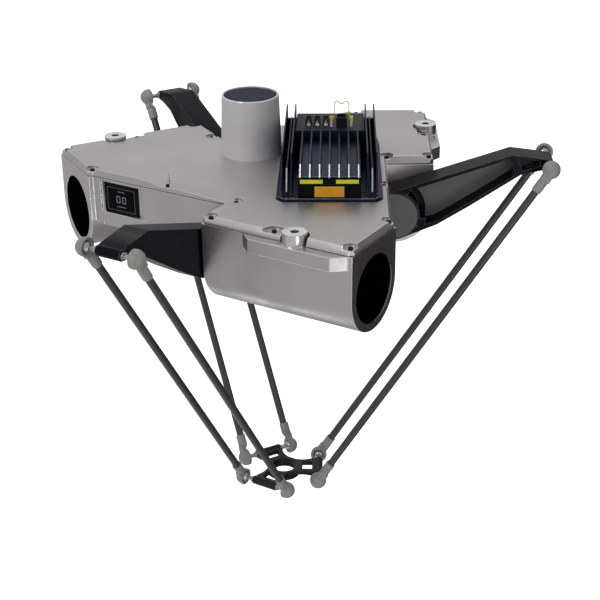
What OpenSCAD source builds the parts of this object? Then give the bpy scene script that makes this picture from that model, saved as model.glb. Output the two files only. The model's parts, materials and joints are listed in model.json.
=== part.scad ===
// Three-arm delta robot that hangs from three mounting pads.
// Origin: centre of the plane of the pads' tops, +Z up, millimetres.
// Each leg has a frame of its own: x runs out from the robot's centre and
// y runs along the shoulder axis, away from the arm and into the drive.

/* [Mechanism] */
// Radius from the centre to the shoulder axes
shoulder_r = 215; // [208:1:225]
// Drop of the shoulder axes below the pads' tops
shoulder_drop = 104.5; // [100:0.5:112]
// Inner arm, from shoulder axis to knee axis
arm_len = 300; // [280:1:330]
// Rise of the inner arms above level at rest
arm_rest = 19.5; // [14:0.5:24]
// Rod length between ball centres
rod_len = 790; // [740:1:850]
// Distance of each rod from the middle of its leg
rod_half = 51; // [49:0.5:58]
// Radius from the centre to the platform's ball lines
wrist_r = 71; // [66:0.5:78]

/* [Casing] */
// Half width of each drive housing
lobe_r = 75; // [72:0.5:80]
// Near face of a drive housing, from the middle of its leg
lobe_near = 28; // [28:0.5:34]
// Far face of a drive housing, from the middle of its leg
lobe_far = 322; // [314:1:335]
// Distance of the slanted webs from the centre
web_r = 201; // [198:0.5:203]
// Depth of the middle of the casing below the pads' tops
core_drop = 120; // [110:1:130]
// Wall of the casing
case_wall = 8; // [6:0.5:10]
// Thickness of the two end walls of a drive housing
end_wall = 12; // [10:0.5:14]
// Height of the mounting pads above the casing's top face
pad_h = 21; // [20:0.5:26]
// Radius of a mounting pad
pad_r = 21; // [18:0.5:22]
// Diameter of the circle through the mounting pads
pad_pcd = 707; // [703:1:711]
// Distance of the pads outside the shoulder axes
pad_out = 68.8; // [67:0.1:70]
// Radius of the bolt hole in a pad
pad_hole_r = 7; // [5:0.25:8]
// Depth of the bolt hole in a pad
pad_hole_depth = 34; // [26:1:38]

/* [Cover] */
// Gap from the pads' tops down to the top of the cover
cover_drop = 6; // [5:0.5:8]
// Thickness of the cover's skin
cover_skin = 6; // [5:0.5:7]
// Slope of the cover's rim, measured across it
rim_run = 5; // [4:0.5:7]
// Slope of the cover's rim beside the two open webs
web_run = 34; // [20:1:36]
// Thickness of the gasket under the cover
gasket_t = 0.6; // [0.4:0.1:1]
// Depth of the screw pockets in the cover
pocket_depth = 6; // [5:0.5:7]
// Radius of the screw pockets
pocket_r = 12.5; // [10:0.5:13]

/* [Tower] */
// Gap between the foot of the tower and the amplifier
tower_gap = 0.5; // [0:0.5:3]
// Place of the cable tower, front to back
tower_y = 58; // [50:0.5:64]
// Top of the tower above the pads' tops
tower_top = 107; // [90:1:125]
// Radius at the foot of the tower
tower_foot_r = 57.5; // [54:0.5:58]
// Radius at the top of the tower
tower_top_r = 53.5; // [50:0.5:54]
// Wall of the tower
tower_wall = 4; // [3:0.25:5]

/* [Amplifier] */
// Gap between the amplifier and the slanted web at its side
amp_gap = 14; // [13:0.5:16]
// Width of the amplifier's foot
amp_w = 182; // [178:1:184]
// Front of the amplifier
amp_front = -203; // [-206:1:-198]
// Back of the amplifier
amp_back = 121; // [116:1:124]
// Front of the fins and of the electronics box
fin_front = -198; // [-199:0.5:-196]
// Top of the electronics box
box_top = 35; // [32:0.5:38]
// Top of the low fins and the connector shelf
fin_top = 52; // [48:0.5:56]
// Top of the four tall fins
guard_top = 69; // [64:0.5:76]
// Thickness of the fins
fin_t = 2.6; // [2:0.1:3]
// Spacing of the low fins
fin_pitch = 16.8; // [15.5:0.1:17]
// Front edge of the connector shelf
shelf_front = 9; // [5:0.5:12]

/* [Arms] */
// Radius of the arm's hub
hub_r = 47; // [44:0.5:49]
// Width of the arm
arm_w = 50; // [46:0.5:51]
// Depth of the hollow in the arm's side
arm_hollow = 42; // [30:1:43]
// Radius of the round bar at the arm's tip
tip_r = 9.5; // [9:0.25:11]
// Radius of the drive flange that carries the arm
flange_r = 38; // [34:0.5:40]

/* [Rods] */
// Outer radius of the rod tube
rod_r = 7.2; // [6.5:0.1:8]
// Inner radius of the rod tube
rod_bore_r = 5.2; // [4:0.1:5.6]
// Radius of the balls
ball_r = 10; // [9:0.25:11]
// Radius of the studs that carry the balls
stud_r = 4.5; // [4:0.1:5]
// Wall of the sockets round the balls
cup_wall = 6.2; // [5:0.1:7]
// Radius of the collar that holds the tube
collar_r = 9.3; // [8.8:0.1:10]
// Distance from ball centre to the end of the collar
collar_end = 48; // [44:0.5:56]

/* [Platform] */
// Outer radius of the platform's middle ring
ring_r = 33; // [31:0.5:35]
// Radius of the opening through the platform
ring_bore_r = 24; // [21:0.5:25]
// Thickness of the platform plate
plate_t = 10; // [8:0.5:12]
// Depth of the tool flange below the plate
tool_h = 8; // [6:0.5:12]
// Radius of the platform's round bars
bar_r = 8.5; // [8:0.25:10]
// Radius of the tool screw holes
tool_hole_r = 2.5; // [2:0.1:3]

/* [Hidden] */
$fn = 64;

// Clearances
gap = 0.3;       // between pieces that move past each other
fit = 0.15;      // between pieces that are fitted together
seat = 0.05;     // round a shaft in its own body
eps = 1;         // how far a cutter runs past a face

// Legs
leg_a = 0;
leg_b = 240;
leg_c = 120;
legs = [leg_a, leg_b, leg_c];

// Mechanism at rest
knee_x = shoulder_r + arm_len * cos(arm_rest);
knee_z = arm_len * sin(arm_rest) - shoulder_drop;
rod_run = knee_x - wrist_r;
rod_fall = sqrt(rod_len * rod_len - rod_run * rod_run);
rod_tilt = asin(rod_run / rod_len);
wrist_z = knee_z - rod_fall;

// Casing
case_top = -pad_h;
lobe_head = shoulder_drop - pad_h;
lobe_out = shoulder_r + lobe_r;
lobe_in = shoulder_r - lobe_r;
// where a slanted web runs into a drive housing
core_in = lobe_in + 6;
web_meet = (web_r + lobe_in / 2) / cos(30);
// start of a web, in the frame of the leg that it ends at
web_start = -lobe_in * sin(60) - web_meet * cos(60);
pad_x = shoulder_r + pad_out;
pad_y = sqrt(pad_pcd * pad_pcd / 4 - pad_x * pad_x);
ledge_out = pad_x + pad_r + 4;
ledge_near = pad_y - 77;
ledge_far = pad_y + 80;
ledge_h = 25;
plug_r = 60;
plug_seat = 6;
flange_hole_r = flange_r + 0.5;
core_step = 12;
well_r = hub_r + 6;
well_half = arm_w / 2 + 6;

// Cover
cover_top = -cover_drop;
cover_foot = case_top + gasket_t;
rim_foot = cover_foot + 4;
lobe_corner = 8;
pad_gap = 4;
pocket_z = cover_top - pocket_depth;
screw_r = 2.5;
head_r = 4.25;
head_h = 5;
head_seat = 2;
screw_len = 18;
boss_r = 6.8;
screw_in = 12;
// screw places in a leg's frame: four round the drive housing, one at the valley, one on the web
cover_holes = [
    [lobe_out - screw_in, lobe_far - screw_in + 2],
    [lobe_in + 7, lobe_far - screw_in + 1],
    [lobe_out - screw_in, pad_y - 43],
    [lobe_out - screw_in + 3, lobe_near + 15],
    [web_r + 1, lobe_near + 13],
    [1, (web_r - 8) / cos(30)]
];

// Amplifier
amp_x = web_r - amp_gap - amp_w / 2;
amp_seat = cover_top - 5;
amp_foot_t = 10;
amp_corner = 12;
box_half = 3 * fin_pitch + 4;
box_low = -46;
guard_far = amp_w / 2 - 9;
guard_near = guard_far - 16;
fin_back = shelf_front;
tip_back = amp_back - 3;

// Tower
tower_x = amp_x - amp_w / 2 - tower_gap - tower_foot_r;

// Shelf fittings
inlet_x = amp_x + 21;
inlet_y = 32;
inlet_w = 20;
inlet_h = 20;
bail_half = 13.6;
bail_r = 1;
bail_h = 32;
bail_z = fin_top + 16;
post_half = 18.4;
post_r = 3;

// Display, along the slanted web of leg b
display_y = -216.5;
display_z = -57;
display_w = 77;
display_h = 56;
display_t = 3;
recess_t = 4;

// Drives, inside the housings
gear_r = lobe_r - case_wall - 8;
gear_len = 56;
motor_half = 0.6 * lobe_r;
motor_body = 120;
motor_len = 160;

// Arm outline in the arm's own frame: x along the arm, y square to it
crescent_w = 13;
ridge_x = arm_len - 58;
ridge_y = 41;

// Ball joints
cup_r = ball_r + gap + cup_wall;
cup_mouth = 5;
lip_w = 4;
lip_t = 2;
neck_start = ball_r + gap + 1.2;
neck_off = 3;
neck_r = 6;
neck_end = 27;
tube_start = neck_end + 9.5;

// Platform
plate_top = wrist_z + plate_t / 2;
plate_low = wrist_z - plate_t / 2;
tool_low = plate_low - tool_h;
tool_pcd = ring_r + ring_bore_r;
bar_half = 27;
neck_half = rod_half - ball_r - gap;

// ---------------------------------------------------------------- helpers

module leg(angle) {
    rotate([0, 0, angle]) children();
}

// Extrudes an outline drawn in x and z along y
module along_y(y0, y1) {
    translate([0, y1, 0]) rotate([90, 0, 0]) linear_extrude(y1 - y0) children();
}

// Round bar along y
module bar_y(r, y0, y1) {
    translate([0, y0, 0]) rotate([-90, 0, 0]) cylinder(r = r, h = y1 - y0);
}

// Round bar along x
module bar_x(r, x0, x1) {
    translate([x0, 0, 0]) rotate([0, 90, 0]) cylinder(r = r, h = x1 - x0);
}

// Round wire from one point to another, with a rounded end at the first
module wire(r, a, b) {
    d = b - a;
    n = norm(d);
    translate(a) {
        sphere(r = r);
        rotate([0, acos(d[2] / n), atan2(d[1], d[0])]) cylinder(r = r, h = n);
    }
}

// Solid between two outlines that have the same number of points
module loft(low, high, z0, z1) {
    n = len(low);
    pts = concat([for (p = low) [p[0], p[1], z0]], [for (p = high) [p[0], p[1], z1]]);
    sides = [for (i = [0 : n - 1]) each [
        [i, (i + 1) % n + n, (i + 1) % n],
        [i, i + n, (i + 1) % n + n]]];
    caps = [[for (i = [0 : n - 1]) i], [for (i = [n - 1 : -1 : 0]) i + n]];
    polyhedron(points = pts, faces = concat(sides, caps));
}

function turn(p, a) = [p[0] * cos(a) - p[1] * sin(a), p[0] * sin(a) + p[1] * cos(a)];

// Places a point list of one leg round all three legs, in order
function three(list) = [for (a = [leg_a, leg_c, leg_b]) for (p = list) turn(p, a)];

// ---------------------------------------------------------------- casing

// Section of a drive housing: flat sides and a round bottom
module lobe_section(inset, top) {
    r = lobe_r - inset;
    circle(r = r);
    translate([-r, 0]) square([2 * r, top]);
}

module lobe(inset, y0, y1, top) {
    translate([shoulder_r, 0, -shoulder_drop]) along_y(y0, y1) lobe_section(inset, top);
}

// Middle of the casing, between the three housings
function core_points(inset) =
    three([[web_r - inset, lobe_near + 2], [core_in, (web_r - inset + core_in / 2) / cos(30)]]);

module core(inset, z0, z1) {
    translate([0, 0, z0]) linear_extrude(z1 - z0) polygon(core_points(inset));
}

module ledge() {
    translate([0, 0, case_top - ledge_h]) linear_extrude(ledge_h + 1.5 * eps)
        polygon([
            [lobe_out - 5, ledge_near - 26.6], [lobe_out, ledge_near - 21],
            [ledge_out, ledge_near], [ledge_out, ledge_far],
            [lobe_out, lobe_far - 8], [lobe_out - 5, lobe_far - 2.8]]);
}

module pad() {
    translate([pad_x, pad_y, case_top - ledge_h + 2]) cylinder(r = pad_r, h = pad_h + ledge_h - 2);
}

module screw_bosses() {
    for (p = cover_holes) translate([p[0], p[1], case_top - 24]) cylinder(r = boss_r, h = 24 + 3 * eps);
}

// The casting before it is cut level with the cover's foot
module casting_blank() {
    difference() {
        union() {
            core(0, -core_drop + core_step, case_top + 2 * eps);
            core(14, -core_drop, -core_drop + core_step + eps);
            for (a = legs) leg(a) lobe(0, lobe_near, lobe_far, lobe_head + eps);
        }
        core(case_wall + 14, -core_drop + case_wall, case_top + 4 * eps);
        for (a = legs) leg(a) lobe(case_wall, lobe_near + end_wall, lobe_far - end_wall, lobe_head + 4 * eps);
    }
}

module base_casting() {
    color([0.69, 0.67, 0.65]) difference() {
        union() {
            difference() {
                union() {
                    casting_blank();
                    for (a = legs) leg(a) {
                        ledge();
                        screw_bosses();
                        arm_well_wall();
                    }
                }
                translate([0, 0, case_top]) cylinder(r = 2 * lobe_far, h = pad_h, $fn = 12);
            }
            for (a = legs) leg(a) pad();
        }
        for (a = legs) leg(a) {
            arm_well();
            drive_openings();
            translate([pad_x, pad_y, -pad_hole_depth]) cylinder(r = pad_hole_r, h = pad_hole_depth + eps);
            for (p = cover_holes)
                translate([p[0], p[1], case_top - screw_len]) cylinder(r = screw_r + fit, h = screw_len + eps);
        }
        display_mount();
    }
}

// Wall round the well in which the arm's hub turns, kept inside the casing
module arm_well_wall() {
    intersection() {
        translate([shoulder_r, 0, -shoulder_drop])
            bar_y(well_r + case_wall, -well_half - case_wall, lobe_near + case_wall);
        core(1, -core_drop + core_step + 2, case_top + 3 * eps);
    }
}

module arm_well() {
    translate([shoulder_r, 0, -shoulder_drop]) bar_y(well_r, -well_half, lobe_near);
}

module drive_openings() {
    translate([shoulder_r, 0, -shoulder_drop]) {
        bar_y(flange_hole_r, lobe_near - eps, lobe_near + end_wall + eps);
        bar_y(plug_r - 6, lobe_far - end_wall - eps, lobe_far + eps);
        bar_y(plug_r + fit, lobe_far - plug_seat - 2, lobe_far + eps);
    }
}

// Recess with a sloped end round the display, and the display's seat, in the web beside leg b
module display_mount() {
    x = web_r - recess_t;
    left = display_y - display_w / 2 - 7;
    right = display_y + display_w / 2 + 9;
    leg(leg_b) {
        translate([0, 0, display_z - display_h / 2 - 1]) linear_extrude(display_h + 6)
            polygon([[x, left], [web_r + eps, left], [web_r + eps, right + 13], [web_r, right + 12], [x, right]]);
        translate([x - display_t, display_y, display_z])
            translate([0, -display_w / 2 - fit, -display_h / 2 - fit])
                cube([display_t + eps, display_w + 2 * fit, display_h + 2 * fit]);
    }
}

// ---------------------------------------------------------------- cover

// Block of the cover over one drive housing, not yet cut level
module cover_lobe() {
    difference() {
        translate([0, 0, cover_foot - eps]) linear_extrude(cover_top - cover_foot + 3 * eps) lobe_plan();
        rim_slope(lobe_out, lobe_near - eps, lobe_far + eps);
        rotate([0, 0, 90]) rim_slope(lobe_far, -lobe_out - eps, -lobe_in + eps);
        rotate([0, 0, -90]) rim_slope(-lobe_near, lobe_in - eps, lobe_out + eps);
    }
}

// Plan of the cover over one drive housing
module lobe_plan() {
    c = lobe_corner;
    polygon([
        [lobe_in, lobe_near], [lobe_out - c, lobe_near], [lobe_out, lobe_near + c],
        [lobe_out, lobe_far - c], [lobe_out - c, lobe_far], [lobe_in + c, lobe_far],
        [lobe_in, lobe_far - c]]);
}

// Slope along y that ends at x; what lies outside it is cut away
module rim_slope(x, y0, y1) {
    h = cover_top - rim_foot;
    along_y(y0, y1) polygon([
        [x + 0.2 * rim_run, rim_foot - 0.2 * h], [x - 1.5 * rim_run, rim_foot + 1.5 * h],
        [x + 2 * rim_run, rim_foot + 1.5 * h]]);
}

// Block of the cover over the middle of the casing, not yet cut level
module cover_core() {
    difference() {
        core(0, cover_foot - 2 * eps, cover_top + eps);
        leg(leg_a) web_slope(rim_run, rim_run);
        for (a = [leg_b, leg_c]) leg(a) web_slope(1, web_run);
    }
}

// Slope along the web that ends at a leg, from one inset at its far end to another near the leg
module web_slope(far_inset, near_inset) {
    h = cover_top - rim_foot;
    y0 = web_start - 2;
    y1 = lobe_near + 6;
    x1 = web_r + 2 * web_run;
    loft(
        [[web_r + 0.2 * far_inset, y0], [x1, y0], [x1, y1], [web_r + 0.2 * near_inset, y1]],
        [[web_r - 1.5 * far_inset, y0], [x1, y0], [x1, y1], [web_r - 1.5 * near_inset, y1]],
        rim_foot - 0.2 * h, rim_foot + 1.5 * h);
}

// Notch with sloped walls that runs in from an open web to its screw, in the frame of the leg that the web ends at
module web_notch() {
    x = web_r - 8;
    y = -tan(30) * (web_r - 8) - 1;
    h = cover_top - pocket_z;
    low = [[x + 12, y + 13], [x - 5, y + 5], [x - 3, y + 1], [x + 12, y - 24]];
    high = [[x + 12, y + 14], [x - 46, y - 33], [x - 46, y - 34], [x + 12, y - 49]];
    loft(low, [for (i = [0 : 3]) low[i] + 1.25 * (high[i] - low[i])], pocket_z, pocket_z + 1.25 * h);
}

module top_cover() {
    color([0.74, 0.72, 0.70]) difference() {
        union() {
            cover_core();
            for (a = legs) leg(a) cover_lobe();
        }
        // cut level above and below
        for (z = [cover_top, cover_foot - pad_h])
            translate([0, 0, z]) cylinder(r = 2 * lobe_far, h = pad_h, $fn = 12);
        // hollow underneath
        core(case_wall + 32, cover_foot - eps, cover_top - cover_skin);
        for (a = legs) leg(a) {
            pad_recess();
            for (p = cover_holes) screw_seat(p);
            for (i = [0 : 4]) cover_pocket(cover_holes[i]);
        }
        // the two open webs have a notch where the third has a pocket
        leg(leg_b) cover_pocket(cover_holes[5]);
        for (a = [leg_b, leg_c]) leg(a) web_notch();
        // seat and opening for the amplifier
        translate([0, 0, amp_seat]) linear_extrude(pad_h) amp_outline(1.5);
        translate([amp_x - box_half - 1, fin_front + 6, cover_foot - eps])
            cube([2 * box_half + 2, shelf_front - fin_front, pad_h]);
        // cable way into the tower
        translate([tower_x, tower_y, cover_foot - eps]) cylinder(r = tower_top_r - 12, h = pad_h);
    }
}

// Recess round a pad, through the cover, with a shelf for the screw beside it
module pad_recess() {
    r = pad_r + pad_gap;
    translate([pad_x, pad_y, cover_foot - eps]) cylinder(r = r, h = pad_h);
    translate([pad_x, pad_y - r, cover_foot - eps]) cube([r, 2 * r, pad_h]);
    translate([0, 0, pocket_z]) linear_extrude(pad_h) polygon([
        [lobe_out + eps, pad_y - 64], [lobe_out - 18, pad_y - 55], [lobe_out - 24, pad_y - 46],
        [lobe_out - 24, pad_y - 8], [lobe_out + eps, pad_y - 8]]);
}

module cover_pocket(p) {
    translate([p[0], p[1], pocket_z]) cylinder(r = pocket_r, h = pad_h);
}

module screw_seat(p) {
    translate([p[0], p[1], pocket_z - pad_h]) cylinder(r = screw_r + fit, h = pad_h);
    translate([p[0], p[1], pocket_z - head_seat]) cylinder(r = head_r + fit, h = pad_h);
}

module seals() {
    color([0.08, 0.08, 0.08]) {
        difference() {
            translate([0, 0, case_top + seat]) linear_extrude(gasket_t - 2 * seat) {
                polygon(core_points(0));
                for (a = legs) rotate(a) lobe_plan();
            }
            core(case_wall + 14, case_top - eps, case_top + eps);
            for (a = legs) leg(a) {
                lobe(case_wall, lobe_near + end_wall, lobe_far - end_wall, lobe_head + 2 * eps);
                for (p = cover_holes) translate([p[0], p[1], case_top - eps])
                    cylinder(r = screw_r + fit, h = 3 * eps);
                pad_recess();
            }
        }
    }
}

module cover_screws() {
    color([0.05, 0.05, 0.05]) for (a = legs) leg(a) for (p = cover_holes)
        translate([p[0], p[1], pocket_z - head_seat + head_h]) cap_screw(screw_r, head_r, head_h, screw_len - 8);
}

// Socket head screw that points down from the origin, the top of its head
module cap_screw(r, hr, hh, length) {
    difference() {
        translate([0, 0, -hh]) cylinder(r = hr, h = hh);
        translate([0, 0, -hh / 2]) cylinder(r = r * 0.9, h = hh, $fn = 6);
    }
    translate([0, 0, -hh - length]) cylinder(r = r, h = length);
}

// ---------------------------------------------------------------- tower

module cable_tower() {
    color([0.69, 0.67, 0.65]) translate([tower_x, tower_y, cover_top]) rotate_extrude() polygon([
        [tower_foot_r - tower_wall - 4, 0], [tower_foot_r, 0],
        [tower_top_r, tower_top + cover_drop - 1], [tower_top_r - 1, tower_top + cover_drop],
        [tower_top_r - tower_wall, tower_top + cover_drop],
        [tower_top_r - tower_wall, tower_top + cover_drop - 6],
        [tower_top_r - tower_wall - 2.5, tower_top + cover_drop - 6],
        [tower_top_r - tower_wall - 2.5, 8]]);
}

module tower_cap() {
    color([0.09, 0.12, 0.27]) translate([tower_x, tower_y, tower_top - 6]) rotate_extrude() polygon([
        [0, -2], [tower_top_r - tower_wall - 2.5 - fit, -2],
        [tower_top_r - tower_wall - 2.5 - fit, 0], [tower_top_r - tower_wall - fit, 0],
        [tower_top_r - tower_wall - fit, 3], [tower_top_r - tower_wall - 1.5, 4], [0, 4]]);
}

// ---------------------------------------------------------------- amplifier

module amp_outline(grow) {
    w = amp_w / 2 + grow;
    c = amp_corner;
    polygon([
        [amp_x - w, amp_front - grow + c], [amp_x - w + c, amp_front - grow],
        [amp_x + w - c, amp_front - grow], [amp_x + w, amp_front - grow + c],
        [amp_x + w, amp_back + grow], [amp_x - w, amp_back + grow]]);
}

// Upright plate that runs front to back, with a sloped front end
module fin(x, foot, top, front_z, slope, back) {
    translate([x - fin_t / 2, 0, 0]) rotate([90, 0, 90]) linear_extrude(fin_t)
        polygon([[fin_front, foot], [back, foot], [back, top], [fin_front + slope, top],
            [fin_front, front_z]]);
}

module heat_sink() {
    color([0.10, 0.12, 0.22]) difference() {
        union() {
            translate([0, 0, amp_seat]) linear_extrude(amp_foot_t) amp_outline(0);
            // electronics box with the low fins on top
            translate([amp_x - box_half, fin_front + 7, box_low])
                cube([2 * box_half, shelf_front - fin_front - 7 - gap, box_top - box_low]);
            for (i = [-3 : 3]) fin(amp_x + i * fin_pitch, box_top - 4, fin_top, box_top + 1, 24, fin_back - 0.3);
            for (s = [-1, 1]) {
                for (x = [guard_near, guard_far]) fin(amp_x + s * x, amp_seat + 6, guard_top, 6, 34, tip_back);
                fin(amp_x + s * (guard_near + guard_far) / 2, amp_seat + 6, box_top + 9, 10, 26, tip_back);
            }
            // cross wall at the back
            translate([amp_x - guard_far, amp_back - 8, amp_seat + amp_foot_t - 1])
                cube([2 * guard_far, 5, fin_top - 9 - amp_seat - amp_foot_t]);
        }
        translate([amp_x - box_half - eps, fin_front - eps, amp_seat + amp_foot_t])
            cube([2 * box_half + 2 * eps, 8 + eps, box_top - 4 - amp_seat - amp_foot_t]);
        translate([amp_x - box_half + 4, fin_front + 11, box_low - eps])
            cube([2 * box_half - 8, shelf_front - fin_front - 15, box_top - 6 - box_low]);
    }
}

module amp_front_plate() {
    color([0.03, 0.03, 0.04]) difference() {
        translate([amp_x - box_half, fin_front, amp_seat + amp_foot_t])
            cube([2 * box_half, 6.9, box_top - 4.2 - amp_seat - amp_foot_t]);
        translate([amp_x - 26, fin_front - eps, 0]) cube([52, eps + 0.4, 20]);
    }
}

module front_label() {
    color([0.89, 0.56, 0.10]) translate([amp_x - 25.5, fin_front - 0.2, 0.5]) cube([51, 0.6, 19]);
}

module fin_labels() {
    color([0.90, 0.82, 0.18]) for (s = [-1, 1])
        translate([amp_x + s * 31 - 19.5, fin_front - 0.6, 25]) cube([39, 0.6, 7]);
}

module connector_shelf() {
    color([0.07, 0.08, 0.14]) difference() {
        translate([amp_x - guard_near + fin_t, shelf_front, box_top - 22])
            cube([2 * (guard_near - fin_t), amp_back - 8.5 - shelf_front, fin_top - box_top + 22]);
        translate([amp_x - guard_near + fin_t + 3, shelf_front + 3, box_top - 22 - eps])
            cube([2 * (guard_near - fin_t) - 6, amp_back - shelf_front - 14.5, fin_top - box_top + 19]);
        for (i = [0 : 2]) translate([amp_x - 40 + 16 * i, inlet_y, fin_top - 4]) cylinder(r = 1.6, h = 6);
    }
}

module signal_connectors() {
    color([0.16, 0.17, 0.17]) for (i = [0 : 2]) translate([amp_x - 40 + 16 * i, inlet_y + 14, fin_top]) {
        difference() {
            translate([-6, -9, 0]) cube([12, 18, 14]);
            translate([-4.8, -7.8, 6]) cube([9.6, 15.6, 9]);
        }
        for (k = [-2 : 2]) translate([0, 2.6 * k, 5]) cylinder(r = 0.7, h = 5, $fn = 16);
    }
}

module power_inlet() {
    color([0.04, 0.04, 0.05]) translate([inlet_x, inlet_y + 2, fin_top]) difference() {
        translate([-inlet_w / 2, -10, 0]) cube([inlet_w, 24, inlet_h]);
        translate([-inlet_w / 2 + 2, -8, 6]) cube([inlet_w - 4, 20, inlet_h]);
    }
}

module bail_brackets() {
    color([0.91, 0.72, 0.12]) for (s = [-1, 1]) translate([inlet_x + s * post_half, inlet_y, fin_top]) {
        difference() {
            union() {
                cylinder(r = post_r - 0.6, h = bail_z - fin_top - 2);
                translate([-post_r, -post_r, bail_z - fin_top - 4]) cube([2 * post_r, 2 * post_r, 8]);
            }
            translate([0, 0, bail_z - fin_top]) bar_x(bail_r + 0.06, -post_r - eps, post_r + eps);
        }
    }
}

module wire_bail() {
    h = bail_h;
    w = bail_half;
    path = [[-w - 4, 0], [-w, 0], [-w, h - 3], [-w + 3, h], [-5, h], [-2.5, h - 4],
        [2.5, h - 4], [5, h], [w - 3, h], [w, h - 3], [w, 0], [w + 4, 0]];
    color([0.86, 0.76, 0.14]) translate([inlet_x, inlet_y, bail_z]) {
        for (i = [0 : len(path) - 2])
            wire(bail_r, [path[i][0], 0, path[i][1]], [path[i + 1][0], 0, path[i + 1][1]]);
        translate([w + 4, 0, 0]) bar_x(bail_r, 0, 1);
        translate([-w - 4, 0, 0]) bar_x(bail_r, -1, 0);
    }
}

// ---------------------------------------------------------------- display

module display_panel() {
    color([0.01, 0.01, 0.01]) leg(leg_b) translate([web_r - recess_t, display_y, display_z]) difference() {
        translate([-display_t, -display_w / 2, -display_h / 2]) cube([display_t + 1.5, display_w, display_h]);
        translate([1, -display_w / 2 + 9, -display_h / 2 + 8]) cube([eps, display_w - 18, display_h - 16]);
    }
}

module display_screws() {
    color([0.05, 0.05, 0.05]) leg(leg_b) for (y = [-1, 1]) for (z = [-1, 1])
        translate([web_r - recess_t + 1.5, display_y + y * (display_w / 2 - 4), display_z + z * (display_h / 2 - 4)])
            bar_x(2.6, 0, 1.6);
}

// ---------------------------------------------------------------- drives

module end_cover() {
    translate([shoulder_r, 0, -shoulder_drop]) color([0.02, 0.02, 0.02]) difference() {
        union() {
            bar_y(plug_r, lobe_far - plug_seat - 2 + seat, lobe_far - 2);
            bar_y(plug_r - 6 - fit, lobe_far - end_wall, lobe_far - 3);
        }
        difference() {
            bar_y(plug_r - 4, lobe_far - 3, lobe_far);
            bar_y(plug_r - 8, lobe_far - 4, lobe_far + 1);
        }
        bar_y(plug_r - 12, lobe_far - end_wall - eps, lobe_far - 7);
    }
}

module gear_reducer() {
    y0 = lobe_near + end_wall;
    translate([shoulder_r, 0, -shoulder_drop]) color([0.55, 0.56, 0.58]) union() {
        bar_y(gear_r, y0 + gap, y0 + 10);
        bar_y(gear_r - 7, y0 + 9, y0 + gear_len - 8);
        bar_y(gear_r - 13, y0 + gear_len - 9, y0 + gear_len);
    }
}

module servo_motor() {
    y0 = lobe_near + end_wall + gear_len + gap;
    screw_at = motor_half - 7;
    translate([shoulder_r, 0, -shoulder_drop]) color([0.09, 0.09, 0.10]) {
        difference() {
            translate([-motor_half, y0, -motor_half]) cube([2 * motor_half, 10, 2 * motor_half]);
            for (x = [-1, 1]) for (z = [-1, 1])
                translate([screw_at * x, 0, screw_at * z]) bar_y(3.3, y0 - eps, y0 + 10 + eps);
        }
        bar_y(motor_half - 2, y0 + 9, y0 + motor_body);
        bar_y(motor_half - 9, y0 + motor_body - eps, y0 + motor_len);
        // plug for the cable
        translate([-20, y0 + motor_body / 2, motor_half - 9]) cube([40, 50, 20]);
    }
}

// ---------------------------------------------------------------- arms

// Puts a shape drawn in the arm's frame (x along the arm, z square to it) in place
module on_arm() {
    translate([shoulder_r, 0, -shoulder_drop]) rotate([0, -arm_rest, 0]) children();
}

// The arm before it is hollowed: a hub, a bar at the tip and a beam between them
module arm_blank() {
    bar_y(hub_r, -arm_w / 2, arm_w / 2);
    translate([arm_len, 0, 0]) bar_y(tip_r, 0.2 - arm_w / 2, arm_w / 2 - 0.2);
    along_y(0.5 - arm_w / 2, arm_w / 2 - 0.5) polygon([
        [0, hub_r - 1], [98, hub_r - 3], [ridge_x, ridge_y], [arm_len - 10, tip_r + 7],
        [arm_len + 3, tip_r - 1.5], [arm_len, 1 - tip_r], [arm_len - 20, -5], [arm_len - 55, -1],
        [138, -28], [70, 4 - hub_r], [0, 1 - hub_r]]);
}

module inner_arm() {
    on_arm() color([0.07, 0.08, 0.10]) difference() {
        arm_blank();
        // hollow in the side
        along_y(-arm_w / 2 - eps, -arm_w / 2 + arm_hollow - 4) difference() {
            arm_hollow_outline();
            circle(r = hub_r + crescent_w);
        }
        // crescent beside the hub, deeper than the hollow
        along_y(-arm_w / 2 - eps, -arm_w / 2 + arm_hollow) difference() {
            intersection() {
                circle(r = hub_r + crescent_w + 0.5);
                polygon([[0, 0], [90, -40], [90, 40], [50, 42]]);
            }
            circle(r = hub_r + 1);
        }
        translate([arm_len, 0, 0]) bar_y(stud_r + seat, -arm_w, arm_w);
        // slot under the ridge near the tip
        along_y(-arm_w / 2 - eps, -arm_w / 2 + 12) polygon([
            [ridge_x + 8, ridge_y - 9], [arm_len - 16, 14], [arm_len - 16, 4], [ridge_x + 8, 6]]);
        // seat for the hub cap
        bar_y(hub_r - 3, -arm_w / 2 - eps, -arm_w / 2 + 1.5);
        // hollow from the drive side, closed by the drive flange
        bar_y(flange_r - 6, 6, arm_w);
    }
}

module arm_hollow_outline() {
    polygon([
        [hub_r - 7, 38], [ridge_x - 10, 35], [ridge_x - 6, 32], [ridge_x - 6, 8],
        [ridge_x - 10, 2], [140, -21], [72, -36], [hub_r - 7, -34]]);
}

module hub_cap() {
    on_arm() color([0.27, 0.28, 0.28]) difference() {
        bar_y(hub_r - 3 - fit, -arm_w / 2 - 1.5, -arm_w / 2 + 1.4);
        difference() {
            bar_y(hub_r - 6, -arm_w / 2 - 2.5, -arm_w / 2 - 0.8);
            bar_y(hub_r - 7.5, -arm_w / 2 - 3, -arm_w / 2);
        }
    }
}

module drive_flange() {
    on_arm() color([0.60, 0.61, 0.63]) difference() {
        bar_y(flange_r, arm_w / 2 + seat, lobe_near + end_wall - gap);
        for (i = [0 : 7]) rotate([0, 45 * i, 0]) translate([flange_r - 6, 0, 0])
            bar_y(2.6, arm_w / 2, lobe_near + end_wall);
    }
}

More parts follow.
